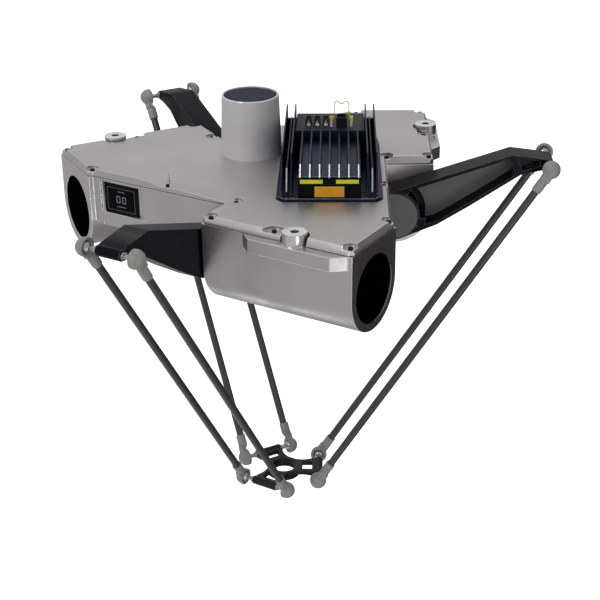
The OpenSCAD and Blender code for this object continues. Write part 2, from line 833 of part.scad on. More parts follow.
module knee_studs() {
    on_arm() translate([arm_len, 0, 0]) color([0.75, 0.76, 0.78]) {
        bar_y(stud_r, -rod_half, rod_half);
        for (s = [-1, 1]) {
            translate([0, s * rod_half, 0]) sphere(r = ball_r);
            translate([0, s * (arm_w / 2 + 2.4), 0]) bar_y(stud_r + 2.5, -2, 2);
        }
    }
}

// ---------------------------------------------------------------- rods

// Frame of one rod: origin at the knee ball, z down along the rod; side is 1 or -1
module on_rod(side) {
    translate([knee_x, side * rod_half, knee_z]) rotate([0, 180 + rod_tilt, 0]) children();
}

module rod_tube(side) {
    on_rod(side) color([0.30, 0.30, 0.30]) translate([0, 0, tube_start]) difference() {
        cylinder(r = rod_r, h = rod_len - 2 * tube_start);
        translate([0, 0, -eps]) cylinder(r = rod_bore_r, h = rod_len - 2 * tube_start + 2 * eps);
    }
}

// Section of a socket's cup: x is the radius, y runs from the mouth to the dome
module cup_section() {
    difference() {
        union() {
            intersection() {
                circle(r = cup_r);
                translate([0, -cup_mouth]) square([cup_r, cup_r + cup_mouth]);
            }
            translate([0, -cup_mouth]) square([cup_r, lip_w]);
        }
        circle(r = ball_r + gap);
        polygon([[0, 0], [ball_r - 1, 0], [cup_r - lip_t, -cup_mouth - eps], [0, -cup_mouth - eps]]);
    }
}

// Socket round a ball at the origin, open towards -y for side 1, with its collar along z
module socket(side) {
    rotate([-90 * side, 0, 0]) rotate_extrude() cup_section();
    difference() {
        union() {
            translate([0, side * neck_off, neck_start]) cylinder(r1 = neck_r, r2 = rod_r, h = neck_end - neck_start);
            translate([-collar_r, side * neck_off - neck_off - 2, neck_start])
                cube([2 * collar_r, 2 * neck_off + 4, neck_end - neck_start - 3]);
            translate([0, 0, neck_end - 7]) cylinder(r1 = neck_r, r2 = collar_r, h = 7);
            translate([0, 0, neck_end - eps]) cylinder(r = collar_r, h = collar_end - neck_end + eps);
        }
        translate([0, 0, tube_start - gap]) cylinder(r = rod_r + seat, h = collar_end);
    }
}

module rod_sockets(side) {
    on_rod(side) color([0.74, 0.75, 0.70]) {
        socket(side);
        translate([0, 0, rod_len]) mirror([0, 0, 1]) socket(side);
    }
}

module wrist_ball(side) {
    on_rod(side) translate([0, 0, rod_len]) color([0.75, 0.76, 0.78]) {
        sphere(r = ball_r);
        bar_y(stud_r, side > 0 ? -ball_r : 0, side > 0 ? 0 : ball_r);
    }
}

// ---------------------------------------------------------------- platform

module platform_outline() {
    difference() {
        union() {
            for (a = legs) rotate(a) translate([0, -bar_half]) square([wrist_r, 2 * bar_half]);
        }
        for (a = legs) rotate(a + 60) translate([wrist_r + 3, 0]) circle(r = 42);
        for (a = legs) rotate(a) translate([wrist_r - 33, -14]) square([20, 28]);
    }
    circle(r = ring_r);
}

module platform_plate() {
    color([0.05, 0.05, 0.07]) difference() {
        union() {
            translate([0, 0, plate_low]) linear_extrude(plate_t) platform_outline();
            for (a = legs) leg(a) translate([wrist_r, 0, wrist_z]) bar_y(bar_r, -bar_half, bar_half);
        }
        translate([0, 0, plate_low - eps]) cylinder(r = ring_bore_r, h = plate_t + 2 * eps);
        for (a = legs) leg(a) translate([wrist_r, 0, wrist_z]) bar_y(stud_r + seat, -bar_half - eps, bar_half + eps);
    }
}

module wrist_studs() {
    color([0.75, 0.76, 0.78]) for (a = legs) leg(a) translate([wrist_r, 0, wrist_z]) {
        bar_y(stud_r, -neck_half, neck_half);
        for (s = [-1, 1]) translate([0, s * (bar_half + 2 + seat), 0]) bar_y(stud_r + 2, -2, 2);
    }
}

module tool_flange() {
    color([0.12, 0.12, 0.13]) difference() {
        translate([0, 0, tool_low]) cylinder(r = ring_r - 1, h = tool_h);
        translate([0, 0, tool_low - eps]) cylinder(r = ring_bore_r, h = tool_h + 2 * eps);
        for (i = [0 : 3]) rotate([0, 0, 45 + 90 * i]) translate([tool_pcd / 2, 0, tool_low - eps])
            cylinder(r = tool_hole_r, h = tool_h + 2 * eps);
    }
}

// ---------------------------------------------------------------- the robot

base_casting();
top_cover();
seals();
cover_screws();
cable_tower();
tower_cap();
heat_sink();
amp_front_plate();
front_label();
fin_labels();
connector_shelf();
signal_connectors();
power_inlet();
bail_brackets();
wire_bail();
display_panel();
display_screws();
leg(leg_a) end_cover();  // end_cover_a
leg(leg_b) end_cover();  // end_cover_b
leg(leg_c) end_cover();  // end_cover_c
leg(leg_a) servo_motor();  // servo_motor_a
leg(leg_b) servo_motor();  // servo_motor_b
leg(leg_c) servo_motor();  // servo_motor_c
leg(leg_a) gear_reducer();  // gear_reducer_a
leg(leg_b) gear_reducer();  // gear_reducer_b
leg(leg_c) gear_reducer();  // gear_reducer_c
leg(leg_a) drive_flange();  // drive_flange_a
leg(leg_b) drive_flange();  // drive_flange_b
leg(leg_c) drive_flange();  // drive_flange_c
leg(leg_a) inner_arm();  // inner_arm_a
leg(leg_b) inner_arm();  // inner_arm_b
leg(leg_c) inner_arm();  // inner_arm_c
leg(leg_a) hub_cap();  // hub_cap_a
leg(leg_b) hub_cap();  // hub_cap_b
leg(leg_c) hub_cap();  // hub_cap_c
leg(leg_a) knee_studs();  // knee_studs_a
leg(leg_b) knee_studs();  // knee_studs_b
leg(leg_c) knee_studs();  // knee_studs_c
leg(leg_a) rod_tube(1);  // rod_tube_a1
leg(leg_a) rod_tube(-1);  // rod_tube_a2
leg(leg_b) rod_tube(1);  // rod_tube_b1
leg(leg_b) rod_tube(-1);  // rod_tube_b2
leg(leg_c) rod_tube(1);  // rod_tube_c1
leg(leg_c) rod_tube(-1);  // rod_tube_c2
leg(leg_a) rod_sockets(1);  // rod_sockets_a1
leg(leg_a) rod_sockets(-1);  // rod_sockets_a2
leg(leg_b) rod_sockets(1);  // rod_sockets_b1
leg(leg_b) rod_sockets(-1);  // rod_sockets_b2
leg(leg_c) rod_sockets(1);  // rod_sockets_c1
leg(leg_c) rod_sockets(-1);  // rod_sockets_c2
leg(leg_a) wrist_ball(1);  // wrist_ball_a1
leg(leg_a) wrist_ball(-1);  // wrist_ball_a2
leg(leg_b) wrist_ball(1);  // wrist_ball_b1
leg(leg_b) wrist_ball(-1);  // wrist_ball_b2
leg(leg_c) wrist_ball(1);  // wrist_ball_c1
leg(leg_c) wrist_ball(-1);  // wrist_ball_c2
platform_plate();
wrist_studs();
tool_flange();
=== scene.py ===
# %% [markdown]
# # A three-arm delta robot
#
# The robot hangs from three pads. Three drives sit in a cast casing, each
# swings one arm, and each arm carries two thin rods that end on a small
# platform. The packed solids give every place and size, so this script only
# has to dress them: soft edges, finishes, and the small things that are too
# fine for the solids.
#
# This first cell loads the solids. Everything after it is measured from them.

# %% Load the solids
import json
import math

import bmesh
import bpy
from mathutils import Matrix, Vector


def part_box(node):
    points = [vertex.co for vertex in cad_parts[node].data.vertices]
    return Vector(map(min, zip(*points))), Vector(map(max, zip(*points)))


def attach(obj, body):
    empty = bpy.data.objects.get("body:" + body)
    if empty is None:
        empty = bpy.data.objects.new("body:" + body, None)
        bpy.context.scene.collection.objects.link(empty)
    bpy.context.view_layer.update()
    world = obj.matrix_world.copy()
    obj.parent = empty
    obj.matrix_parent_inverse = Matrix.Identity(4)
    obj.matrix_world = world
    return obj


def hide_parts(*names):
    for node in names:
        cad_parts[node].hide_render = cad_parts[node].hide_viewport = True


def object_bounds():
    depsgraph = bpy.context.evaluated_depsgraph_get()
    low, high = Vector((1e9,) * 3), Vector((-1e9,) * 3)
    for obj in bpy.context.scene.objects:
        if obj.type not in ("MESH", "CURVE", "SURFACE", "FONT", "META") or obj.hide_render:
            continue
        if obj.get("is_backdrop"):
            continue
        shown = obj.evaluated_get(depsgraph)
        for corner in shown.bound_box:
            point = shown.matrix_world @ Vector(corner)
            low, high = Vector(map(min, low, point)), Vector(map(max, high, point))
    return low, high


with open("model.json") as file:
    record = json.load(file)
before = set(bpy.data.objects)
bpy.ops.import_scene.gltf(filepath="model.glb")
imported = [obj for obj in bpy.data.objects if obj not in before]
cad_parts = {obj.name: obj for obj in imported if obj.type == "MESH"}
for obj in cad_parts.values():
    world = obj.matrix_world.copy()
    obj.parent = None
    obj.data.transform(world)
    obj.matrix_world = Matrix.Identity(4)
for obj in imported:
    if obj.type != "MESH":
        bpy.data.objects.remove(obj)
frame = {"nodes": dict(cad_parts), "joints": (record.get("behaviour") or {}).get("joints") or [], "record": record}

cad_low, cad_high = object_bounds()
joints = {joint["name"]: joint for joint in frame["joints"]}
MM = 0.001
# How far each leg is turned about Z from +X, in degrees.
LEGS = {"a": 0.0, "b": 240.0, "c": 120.0}
print("solids", len(frame["nodes"]), "box", [round(v, 3) for v in (*cad_low, *cad_high)])

# %% [markdown]
# ## Camera
#
# The robot is looked at from the front and from above, with a long lens, so
# the lines of the casing hardly converge. A camera in Blender looks along its
# own -Z with +Y up, so three directions are enough to turn it. They are
# written down as a matrix, because angles would hide what they mean.

# %% Camera
camera_data = bpy.data.cameras.new("camera")
camera_data.sensor_width = 36
camera_data.lens = 83.7
camera_data.clip_end = 60
camera = bpy.data.objects.new("camera", camera_data)
bpy.context.scene.collection.objects.link(camera)
camera_right = Vector((0.99960442, 0.02603537, -0.01063811))
camera_up = Vector((-0.00148741, 0.42665335, 0.90441401))
camera_back = camera_right.cross(camera_up)
turned = Matrix((camera_right, camera_up, camera_back)).transposed().to_4x4()
camera.matrix_world = Matrix.Translation((0.1132, -2.449769, 0.866434)) @ turned
bpy.context.scene.camera = camera
print("camera at", [round(v, 2) for v in camera.location])

# %% [markdown]
# ## Floor
#
# The robot is shown in a white studio. The floor is a wide pale sheet far
# below the robot, so no shadow falls near it. Satin metal shows its
# surroundings, and an all-white floor would turn every casting pale, so the
# sheet is seen by the camera but not by the metal. What the metal sees is set
# by the lamps and the sky in the next step.

# %% Floor
scene = bpy.context.scene
scene.view_settings.view_transform = "Standard"
FLOOR_DROP = 1.9
FLOOR_SIZE = 60


def studio_floor():
    """A wide pale floor that glows a little."""
    bm = bmesh.new()
    bmesh.ops.create_grid(bm, x_segments=1, y_segments=1, size=FLOOR_SIZE)
    bmesh.ops.translate(bm, verts=bm.verts, vec=(0, 0, cad_low.z - FLOOR_DROP))
    mesh = bpy.data.meshes.new("studio_floor")
    bm.to_mesh(mesh)
    bm.free()
    paper = bpy.data.materials.new("studio_paper")
    paper.use_nodes = True
    shader = paper.node_tree.nodes["Principled BSDF"]
    shader.inputs["Base Color"].default_value = (0.9, 0.9, 0.9, 1)
    shader.inputs["Roughness"].default_value = 0.9
    shader.inputs["Emission Color"].default_value = (1, 1, 1, 1)
    shader.inputs["Emission Strength"].default_value = 1.0
    mesh.materials.append(paper)
    floor = bpy.data.objects.new("studio_floor", mesh)
    floor.visible_glossy = False
    floor.visible_diffuse = False
    floor.visible_shadow = False
    scene.collection.objects.link(floor)
    floor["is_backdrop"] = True
    return floor


studio_floor()
print("floor", FLOOR_DROP, "m under the robot")

# %% [markdown]
# ## Light
#
# Satin metal is lit with soft boxes, and one side of the room is left dark so
# that round forms turn. Here the sky is bright at the left front and fades to
# nearly black at the right back. That gives most of the light and shade, and
# five boxes add the accents: one at the upper left gives the main light, a
# wide one behind lifts the surfaces that face up, one overhead draws the
# bright lines along rounded edges, a narrow one low at the right front marks
# the upright corners, and a small one far below draws a streak along the
# lower curve of the front drive housing.

# %% Light
SKY_FROM = Vector((-0.80, -0.43, 0.42))
SKY_DARK = 0.015
SKY_BRIGHT = 0.46
SKY_EDGE = (-0.98, -0.40)


def lamp(name, place, target, size, power):
    """A rectangular soft box at a place, turned to a target."""
    light = bpy.data.lights.new(name, "AREA")
    light.shape = "RECTANGLE"
    light.size = size[0]
    light.size_y = size[1]
    light.energy = power
    holder = bpy.data.objects.new(name, light)
    aim = Vector(target) - Vector(place)
    holder.rotation_euler = aim.to_track_quat("-Z", "Y").to_euler()
    holder.location = place
    scene.collection.objects.link(holder)
    return holder


def studio_sky():
    """A sky that is bright on one side, and white behind the robot."""
    sky = bpy.data.worlds.new("studio_sky")
    sky.use_nodes = True
    nodes = sky.node_tree.nodes
    links = sky.node_tree.links
    direction = nodes.new("ShaderNodeTexCoord").outputs["Generated"]
    along = nodes.new("ShaderNodeVectorMath")
    along.operation = "DOT_PRODUCT"
    along.inputs[1].default_value = SKY_FROM
    links.new(direction, along.inputs[0])
    level = nodes.new("ShaderNodeMapRange")
    level.interpolation_type = "SMOOTHSTEP"
    level.inputs["From Min"].default_value = SKY_EDGE[0]
    level.inputs["From Max"].default_value = SKY_EDGE[1]
    level.inputs["To Min"].default_value = SKY_DARK
    level.inputs["To Max"].default_value = SKY_BRIGHT
    links.new(along.outputs["Value"], level.inputs["Value"])
    seen = nodes.new("ShaderNodeMix")
    links.new(nodes.new("ShaderNodeLightPath").outputs["Is Camera Ray"], seen.inputs[0])
    links.new(level.outputs["Result"], seen.inputs[2])
    seen.inputs[3].default_value = 1.0
    nodes["Background"].inputs["Color"].default_value = (1, 1, 1, 1)
    links.new(seen.outputs[0], nodes["Background"].inputs["Strength"])
    scene.world = sky


lamp("key_box", (-2.0, -2.2, 2.0), (0, 0, -0.1), (0.8, 0.8), 15)
lamp("back_box", (0.2, 2.7, 1.4), (0.05, 0, 0), (3.4, 1.4), 4)
lamp("overhead_box", (-0.2, 0.1, 2.6), (0.05, 0, 0), (0.7, 0.6), 5)
lamp("corner_box", (1.0, -2.3, -1.15), (0.1, -0.3, -0.15), (0.35, 1.0), 5)
lamp("low_box", (-0.75, 0.25, -1.85), (-0.02, -0.24, -0.05), (0.3, 0.25), 0.6)
studio_sky()

# %% [markdown]
# ## Building blocks for finishes
#
# A finish is a Principled shader with a few textures in front of it. Every
# finish here is made of the same parts: a noise that mottles the colour, a
# noise that varies the gloss, and one or two fine noises that raise a grain.
# Noise reads Object coordinates, in metres, so a scale of 1000 gives grains
# of about a millimetre. What is the same all over goes straight into the
# shader's own sockets. A finish's gloss is the middle of its roughness, so a
# low value is shiny and a high one is dull.

# %% Building blocks for finishes


class Finish:
    """A Principled material that is built up in layers."""

    def __init__(self, name, **sockets):
        self.material = bpy.data.materials.new(name)
        self.material.use_nodes = True
        self.nodes = self.material.node_tree.nodes
        self.links = self.material.node_tree.links
        self.shader = self.nodes["Principled BSDF"]
        self.place = self.nodes.new("ShaderNodeTexCoord").outputs["Object"]
        self.normal = None
        for socket, value in sockets.items():
            self.shader.inputs[socket.replace("_", " ")].default_value = value

    def stretched(self, scale):
        """Object coordinates that are stretched, for a grain with a direction."""
        mapping = self.nodes.new("ShaderNodeMapping")
        mapping.inputs["Scale"].default_value = scale
        self.links.new(self.place, mapping.inputs["Vector"])
        return mapping.outputs["Vector"]

    def noise(self, scale, detail=3.0, along=None):
        """Noise of a given scale, from 0 to 1."""
        texture = self.nodes.new("ShaderNodeTexNoise")
        texture.inputs["Scale"].default_value = scale
        texture.inputs["Detail"].default_value = detail
        self.links.new(along or self.place, texture.inputs["Vector"])
        return texture.outputs["Fac"]

    def between(self, factor, low, high, start=0.3, end=0.7):
        """Maps a value from one range to another."""
        node = self.nodes.new("ShaderNodeMapRange")
        node.inputs["From Min"].default_value = start
        node.inputs["From Max"].default_value = end
        node.inputs["To Min"].default_value = low
        node.inputs["To Max"].default_value = high
        self.links.new(factor, node.inputs["Value"])
        return node.outputs["Result"]

    def times(self, a, b):
        """One value times another, which may be a number."""
        node = self.nodes.new("ShaderNodeMath")
        node.operation = "MULTIPLY"
        for socket, value in zip(node.inputs, (a, b)):
            if isinstance(value, (int, float)):
                socket.default_value = value
            else:
                self.links.new(value, socket)
        return node.outputs[0]

    def blend(self, factor, first, second):
        """A colour between two colours, which may be sockets."""
        node = self.nodes.new("ShaderNodeMix")
        node.data_type = "RGBA"
        self.links.new(factor, node.inputs[0])
        for socket, value in zip((node.inputs[6], node.inputs[7]), (first, second)):
            if isinstance(value, tuple):
                socket.default_value = (*value, 1)
            else:
                self.links.new(value, socket)
        return node.outputs[2]

    def attribute(self, name):
        """A value that the mesh carries itself."""
        node = self.nodes.new("ShaderNodeAttribute")
        node.attribute_name = name
        return node.outputs["Fac"]

    def colour(self, socket):
        self.links.new(socket, self.shader.inputs["Base Color"])

    def roughness(self, socket):
        self.links.new(socket, self.shader.inputs["Roughness"])

    def raise_grain(self, height, depth):
        """Adds a layer of relief of about the given depth, in metres."""
        bump = self.nodes.new("ShaderNodeBump")
        bump.inputs["Distance"].default_value = depth
        bump.inputs["Strength"].default_value = 1.0
        self.links.new(height, bump.inputs["Height"])
        if self.normal is not None:
            self.links.new(self.normal, bump.inputs["Normal"])
        self.normal = bump.outputs["Normal"]
        self.links.new(self.normal, self.shader.inputs["Normal"])


def shade(colour, factor):
    """A lighter or darker version of a colour."""
    return tuple(min(1.0, channel * factor) for channel in colour)


print("finish layers", [name for name in vars(Finish) if not name.startswith("_")])

# %% [markdown]
# ## Painted castings
#
# The casing, its cover and the tower are aluminium castings under a satin
# silver-grey paint with metal flakes, so they are shaded more like metal than
# like plastic. Such paint isn't flat: the cast skin shows through as a soft
# ripple and the paint has a fine orange peel. Along the edges the paint is
# smoother, and its colour is made lighter there, partly as wear and partly as
# a painted highlight for the bright lines along the roundings. The edges carry
# a value of their own, "edge", which is set where each mesh is rounded.

# %% Painted castings
# How much lighter the edges are painted: partly wear, partly a painted highlight.
EDGE_GAIN = 1.6
EDGE_GLOSS = 0.36
RIPPLE_DEPTH = 0.03 * MM
PEEL_DEPTH = 0.012 * MM


def painted_casting(name, colour, gloss=0.37, metallic=1.0):
    """Satin metallic paint over a cast skin."""
    paint = Finish(
        name, Metallic=metallic, Specular_IOR_Level=0.5, Coat_Weight=0.05, Coat_Roughness=0.3)
    broad = paint.noise(9, 4)
    mottled = paint.blend(paint.between(broad, 0, 1), shade(colour, 0.95), shade(colour, 1.05))
    # The edges are painted lighter, partly as wear and partly as a painted highlight for the bright lines along
    # the roundings.
    rubbed_and_highlit = paint.times(paint.attribute("edge"), paint.between(paint.noise(60, 5), 0.7, 1.0))
    paint.colour(paint.blend(rubbed_and_highlit, mottled, shade(colour, EDGE_GAIN)))
    satin = paint.between(paint.noise(140, 4), gloss - 0.05, gloss + 0.06)
    paint.roughness(paint.times(satin, paint.between(rubbed_and_highlit, 1.0, EDGE_GLOSS, 0.0, 1.0)))
    paint.raise_grain(paint.noise(45, 2), RIPPLE_DEPTH)
    paint.raise_grain(paint.noise(1500, 2), PEEL_DEPTH)
    return paint.material


casting_paint = painted_casting("casting_paint", (0.640, 0.602, 0.606))
cover_paint = painted_casting("cover_paint", (0.620, 0.606, 0.608), gloss=0.47)
tower_paint = painted_casting("tower_paint", (0.800, 0.788, 0.792), gloss=0.55, metallic=0.35)
print("paints", casting_paint.name, cover_paint.name, tower_paint.name)

# %% [markdown]
# ## Dark coats
#
# The arms and the platform are powder coated in a near black, and the
# amplifier's fins are anodised dark blue. Anodising keeps the machining lines
# of the metal, so its grain is drawn out in one direction, while a powder
# coat has a round, pebbled grain. Along the edges both coats are painted
# lighter, partly as wear that shows the paler metal and partly as a painted
# highlight; the arms get a light grey edge colour of their own.

# %% Dark coats
LINE_DEPTH = 0.01 * MM
PEBBLE_DEPTH = 0.015 * MM


def anodised(name, colour, gloss=0.38):
    """Dyed metal that keeps the lines of the tool, which run along Y."""
    coat = Finish(name, Metallic=0.75, Specular_IOR_Level=0.25)
    lines = coat.noise(900, 2, coat.stretched((1, 0.06, 1)))
    cloud = coat.noise(14, 3)
    base = coat.blend(coat.between(cloud, 0, 1), shade(colour, 0.88), shade(colour, 1.12))
    # The edges are painted lighter, partly as wear and partly as a painted highlight.
    worn_and_highlit = coat.times(coat.attribute("edge"), coat.between(coat.noise(80, 4), 0.2, 1.0))
    coat.colour(coat.blend(worn_and_highlit, base, shade(colour, 1.7)))
    coat.roughness(coat.between(lines, gloss - 0.06, gloss + 0.08))
    coat.raise_grain(lines, LINE_DEPTH)
    return coat.material


def powder_coat(name, colour, gloss=0.45, edge_gain=2.2, sheen=0.34, edge=None):
    """Pebbled powder coat, its edges painted lighter or in an edge colour of its own, as wear and as a painted
    highlight.
    """
    coat = Finish(name, Metallic=0.0, Specular_IOR_Level=sheen)
    cloud = coat.noise(20, 4)
    base = coat.blend(coat.between(cloud, 0, 1), shade(colour, 0.9), shade(colour, 1.1))
    # The edges are painted lighter, partly as wear and partly as a painted highlight.
    worn_and_highlit = coat.times(coat.attribute("edge"), coat.between(coat.noise(90, 5), 0.1, 1.0))
    coat.colour(coat.blend(worn_and_highlit, base, edge or shade(colour, edge_gain)))
    coat.roughness(coat.between(coat.noise(260, 3), gloss - 0.06, gloss + 0.08))
    coat.raise_grain(coat.noise(900, 2), PEBBLE_DEPTH)
    return coat.material


fin_blue = anodised("fin_blue", (0.016, 0.021, 0.056))
# The arms' light grey edge colour is partly wear and partly a painted highlight along each rounding.
arm_black = powder_coat(
    "arm_black", (0.0016, 0.0024, 0.0066), gloss=0.30, sheen=0.12, edge=(0.16, 0.16, 0.165))
shelf_blue = powder_coat("shelf_blue", (0.016, 0.018, 0.034), gloss=0.5)
front_black = powder_coat("front_black", (0.004, 0.004, 0.005), gloss=0.5, sheen=0.12)
platform_black = powder_coat("platform_black", (0.010, 0.011, 0.013), gloss=0.38)
tool_black = anodised("tool_black", (0.020, 0.020, 0.022))
# The hub caps' edges are painted much lighter: a painted highlight ring round each cap, and wear.
hub_grey = powder_coat("hub_grey", (0.150, 0.153, 0.153), gloss=0.5, edge_gain=3.0)
pocket_grey = powder_coat("pocket_grey", (0.190, 0.192, 0.194), gloss=0.5, edge_gain=1.6)
print("dark coats", fin_blue.name, arm_black.name, platform_black.name)

# %% [markdown]
# ## Bare metal
#
# The studs, balls and drive flanges are turned steel, and the pads are bare
# aluminium. The sloped ends of the fins get a pale metal finish as well, which
# is a painted highlight for the light they catch. A tool leaves marks that are
# too fine to model, so a tight noise varies the gloss. The black screws are the
# same steel with an oxide skin.

# %% Bare metal
TOOL_MARK_DEPTH = 0.008 * MM


def turned_steel(name, colour, gloss=0.25, grain=1400):
    """Machined steel with a fine uneven gloss."""
    steel = Finish(name, Metallic=1.0)
    cloud = steel.noise(120, 4)
    base = steel.blend(steel.between(cloud, 0, 1), shade(colour, 0.85), shade(colour, 1.08))
    # The edges are painted lighter, partly as wear and partly as a painted highlight.
    worn_and_highlit = steel.times(steel.attribute("edge"), steel.between(steel.noise(150, 4), 0.2, 0.9))
    steel.colour(steel.blend(worn_and_highlit, base, shade(colour, 1.3)))
    steel.roughness(steel.between(steel.noise(grain, 3), gloss - 0.07, gloss + 0.1))
    steel.raise_grain(steel.noise(grain, 2), TOOL_MARK_DEPTH)
    return steel.material


ball_steel = turned_steel("ball_steel", (0.62, 0.63, 0.65), gloss=0.14)
stud_steel = turned_steel("stud_steel", (0.55, 0.56, 0.58), gloss=0.26)
flange_steel = turned_steel("flange_steel", (0.42, 0.43, 0.45), gloss=0.34)
gear_steel = turned_steel("gear_steel", (0.36, 0.37, 0.39), gloss=0.38)
oxide_steel = turned_steel("oxide_steel", (0.018, 0.017, 0.017), gloss=0.36)
# A pale metal that paints a highlight on the sloped fin ends.
fin_end_highlight = turned_steel("fin_end_highlight", (0.66, 0.68, 0.72), gloss=0.32, grain=700)
pad_metal = turned_steel("pad_metal", (0.88, 0.87, 0.88), gloss=0.24, grain=900)
print("metals", ball_steel.name, oxide_steel.name)

# %% [markdown]
# ## Plastics and rubber
#
# The sockets are moulded in a pale filled nylon, the connectors and caps in
# darker plastics. Filled plastics show faint flow clouds and a dull, slightly
# uneven skin, and light goes a little way into the pale ones. The labels and
# the display's glass and ink are smooth, so their relief is shallower.

# %% Plastics and rubber
SKIN_DEPTH = 0.02 * MM
LABEL_DEPTH = 0.01 * MM
RUBBER_DEPTH = 0.04 * MM
GLASS_DEPTH = 0.002 * MM


def moulded(name, colour, gloss, depth=SKIN_DEPTH, glow=0.0, sheen=0.5):
    """Moulded plastic with faint flow clouds."""
    plastic = Finish(
        name, Specular_IOR_Level=sheen, Subsurface_Weight=glow, Subsurface_Scale=3 * MM)
    cloud = plastic.noise(70, 5)
    base = plastic.blend(plastic.between(cloud, 0, 1), shade(colour, 0.9), shade(colour, 1.07))
    handled = plastic.between(plastic.noise(120, 4), 0.2, 0.9)
    # The edges are painted lighter, partly as wear and partly as a painted highlight.
    worn_and_highlit = plastic.times(plastic.attribute("edge"), handled)
    plastic.colour(plastic.blend(worn_and_highlit, base, shade(colour, 1.25)))
    plastic.roughness(plastic.between(plastic.noise(320, 3), gloss - 0.07, gloss + 0.09))
    plastic.raise_grain(plastic.noise(1800, 2), depth)
    return plastic.material


socket_nylon = moulded("socket_nylon", (0.37, 0.38, 0.36), gloss=0.32, glow=0.05)
cap_plastic = moulded("cap_plastic", (0.006, 0.010, 0.048), gloss=0.5, sheen=0.2)
connector_nylon = moulded("connector_nylon", (0.030, 0.036, 0.032), gloss=0.45)
inlet_plastic = moulded("inlet_plastic", (0.008, 0.008, 0.010), gloss=0.4)
end_plastic = moulded("end_plastic", (0.0010, 0.0009, 0.0008), gloss=0.5, sheen=0.0)
motor_paint = moulded("motor_paint", (0.010, 0.010, 0.012), gloss=0.45)
gasket_rubber = moulded("gasket_rubber", (0.012, 0.012, 0.012), gloss=0.75, depth=RUBBER_DEPTH)
white_nylon = moulded("white_nylon", (0.95, 0.95, 0.92), gloss=0.45, depth=LABEL_DEPTH, glow=0.1)
post_yellow = moulded("post_yellow", (1.0, 0.62, 0.03), gloss=0.4)
wire_yellow = moulded("wire_yellow", (0.92, 0.74, 0.04), gloss=0.34, depth=LABEL_DEPTH)
label_orange = moulded("label_orange", (1.0, 0.42, 0.006), gloss=0.5, depth=LABEL_DEPTH)
label_border = moulded("label_border", (1.0, 0.62, 0.10), gloss=0.5, depth=LABEL_DEPTH)
post_lime = moulded("post_lime", (0.90, 0.92, 0.03), gloss=0.4)
display_ink = moulded("display_ink", (0.30, 0.30, 0.32), gloss=0.5, depth=LABEL_DEPTH)
display_glass = moulded(
    "display_glass", (0.0010, 0.0010, 0.0012), gloss=0.12, depth=GLASS_DEPTH, sheen=0.08)
bezel_silver = turned_steel("bezel_silver", (0.34, 0.34, 0.35), gloss=0.4)
label_yellow = moulded("label_yellow", (1.0, 0.90, 0.03), gloss=0.5, depth=LABEL_DEPTH)
print("plastics", socket_nylon.name, cap_plastic.name)

# %% [markdown]
# ## Carbon rods
#
# The rods are wound carbon fibre under clear resin. The weave has to follow
# the tube, so the rods get a UV map of their own: U runs round the tube and V
# along it. Two sets of stripes that cross on the slant make a twill, and a
# thin clear coat gives the long bright line down each rod.

# %% Carbon rods
TWILL_SCALE = 85
TOW_DEPTH = 0.03 * MM
FIBRE_DARK = (0.045, 0.045, 0.046)
FIBRE_LIGHT = (0.105, 0.105, 0.104)
RESIN = (0.075, 0.075, 0.075)


def carbon_twill(name):
    """Twill weave in clear resin, on a UV map in metres."""
    cloth = Finish(name, Metallic=0.0, Specular_IOR_Level=0.4, Coat_Weight=0.35, Coat_Roughness=0.3)
    uv = cloth.nodes.new("ShaderNodeUVMap")
    uv.uv_map = "tube"
    slants = []
    for angle in (45, -45):
        mapping = cloth.nodes.new("ShaderNodeMapping")
        mapping.inputs["Rotation"].default_value = (0, 0, math.radians(angle))
        cloth.links.new(uv.outputs["UV"], mapping.inputs["Vector"])
        wave = cloth.nodes.new("ShaderNodeTexWave")
        wave.inputs["Scale"].default_value = TWILL_SCALE
        wave.inputs["Distortion"].default_value = 0.4
        cloth.links.new(mapping.outputs["Vector"], wave.inputs["Vector"])
        slants.append(wave.outputs["Fac"])
    tows = cloth.times(slants[0], slants[1])
    fibres = cloth.noise(500, 4)
    over = cloth.between(tows, 0, 1, 0.05, 0.55)
    weave = cloth.blend(over, FIBRE_DARK, FIBRE_LIGHT)
    cloth.colour(cloth.blend(cloth.between(fibres, 0, 0.5), weave, RESIN))
    cloth.roughness(cloth.between(tows, 0.34, 0.46, 0.0, 0.6))
    cloth.raise_grain(tows, TOW_DEPTH)
    return cloth.material


rod_carbon = carbon_twill("rod_carbon")
print("carbon", rod_carbon.name)

# %% [markdown]
# ## Rounding the solids' edges
#
# No real part has knife edges: castings have generous radii and machined
# parts a small chamfer, and the bright lines along them are what makes a part
# look real. A solid's mesh comes as loose triangles, so a copy is merged,
# its flat faces are joined again, and then the sharp edges are bevelled. A
# face with very many corners, such as one round an opening, stays triangles,
# because a bevel could make it close over the opening. The new faces are
# marked with the value "edge", for the finishes above.

# %% Rounding the solids' edges
SHARP = math.radians(28)
FLAT = math.radians(0.4)
SAME_POINT = 0.01 * MM
MANY_CORNERS = 24
ROUNDING_STEPS = 2


def merged_copy(node):
    """A closed copy of a solid's mesh, with its smaller flat faces joined."""
    bm = bmesh.new()
    bm.from_mesh(frame["nodes"][node].data)
    bmesh.ops.remove_doubles(bm, verts=bm.verts, dist=SAME_POINT)
    bmesh.ops.dissolve_degenerate(bm, edges=bm.edges, dist=SAME_POINT)
    bmesh.ops.dissolve_limit(bm, angle_limit=FLAT, verts=bm.verts, edges=bm.edges)
    ringed = [face for face in bm.faces if len(face.verts) > MANY_CORNERS]
    bmesh.ops.triangulate(bm, faces=ringed)
    return bm


